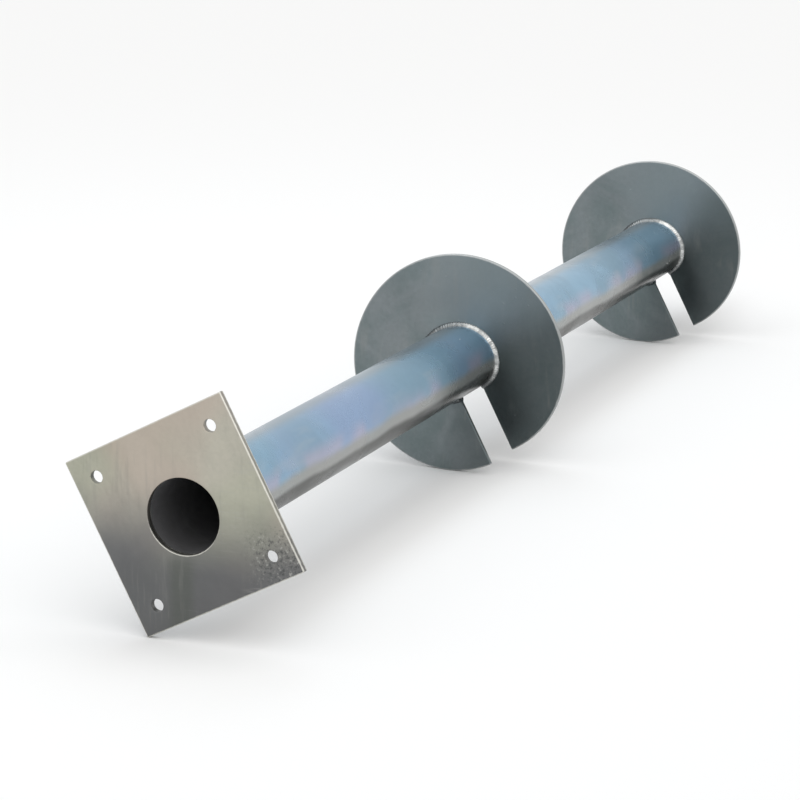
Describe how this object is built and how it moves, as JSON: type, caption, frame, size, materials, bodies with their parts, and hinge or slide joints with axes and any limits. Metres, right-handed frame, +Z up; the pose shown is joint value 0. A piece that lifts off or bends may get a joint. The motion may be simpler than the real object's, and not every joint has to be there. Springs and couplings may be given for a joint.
{
  "type": "helical pile",
  "caption": "Galvanised steel helical ground pile, lying down: tube shaft, square bolt-on top plate, helix plates and a pressed point.",
  "frame": {"origin": "centre of the square top plate's outer face, on the axis of the shaft", "axes": "+X down the shaft from the top plate to the point, +Z up as the pile lies on its helix rims"},
  "size_m": [2.43, 0.35, 0.35],
  "materials": {
    "zinc_plate": "hot-dip galvanised, dull and warm, with faint runs",
    "zinc_tube": "hot-dip galvanised, bright and smooth",
    "zinc_helix": "hot-dip galvanised, dull grey",
    "zinc_point": "hot-dip galvanised, bright",
    "zinc_weld": "galvanised weld bead"
  },
  "bodies": {
    "root": {"top_plate": "zinc_plate", "shaft_tube": "zinc_tube", "pressed_point": "zinc_point", "upper_helix": "zinc_helix", "lower_helix": "zinc_helix", "plate_weld": "zinc_weld", "seam_weld": "zinc_weld"}
  },
  "joints": []
}
